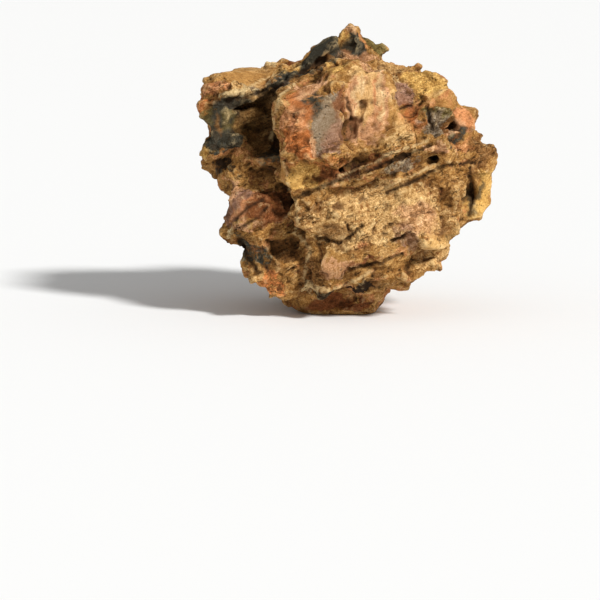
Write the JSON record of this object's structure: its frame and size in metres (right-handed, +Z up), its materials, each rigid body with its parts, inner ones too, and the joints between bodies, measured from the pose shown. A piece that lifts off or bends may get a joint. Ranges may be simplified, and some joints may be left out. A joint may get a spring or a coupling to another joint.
{
  "type": "dragon stone",
  "caption": "Weathered clay-rich aquascape stone with tilted beds, ledges, clefts and a deep side hollow; stands on a small flat foot.",
  "frame": {"origin": "on the surface that the stone stands on, under the middle of its box", "axes": "+Z up, the face with the most relief looks along -Y, +X is the viewer's right"},
  "size_m": [0.1468, 0.1298, 0.1407],
  "materials": {
    "clay_stone": "matt"
  },
  "bodies": {
    "root": {"dragon_stone": "clay_stone"}
  },
  "joints": []
}
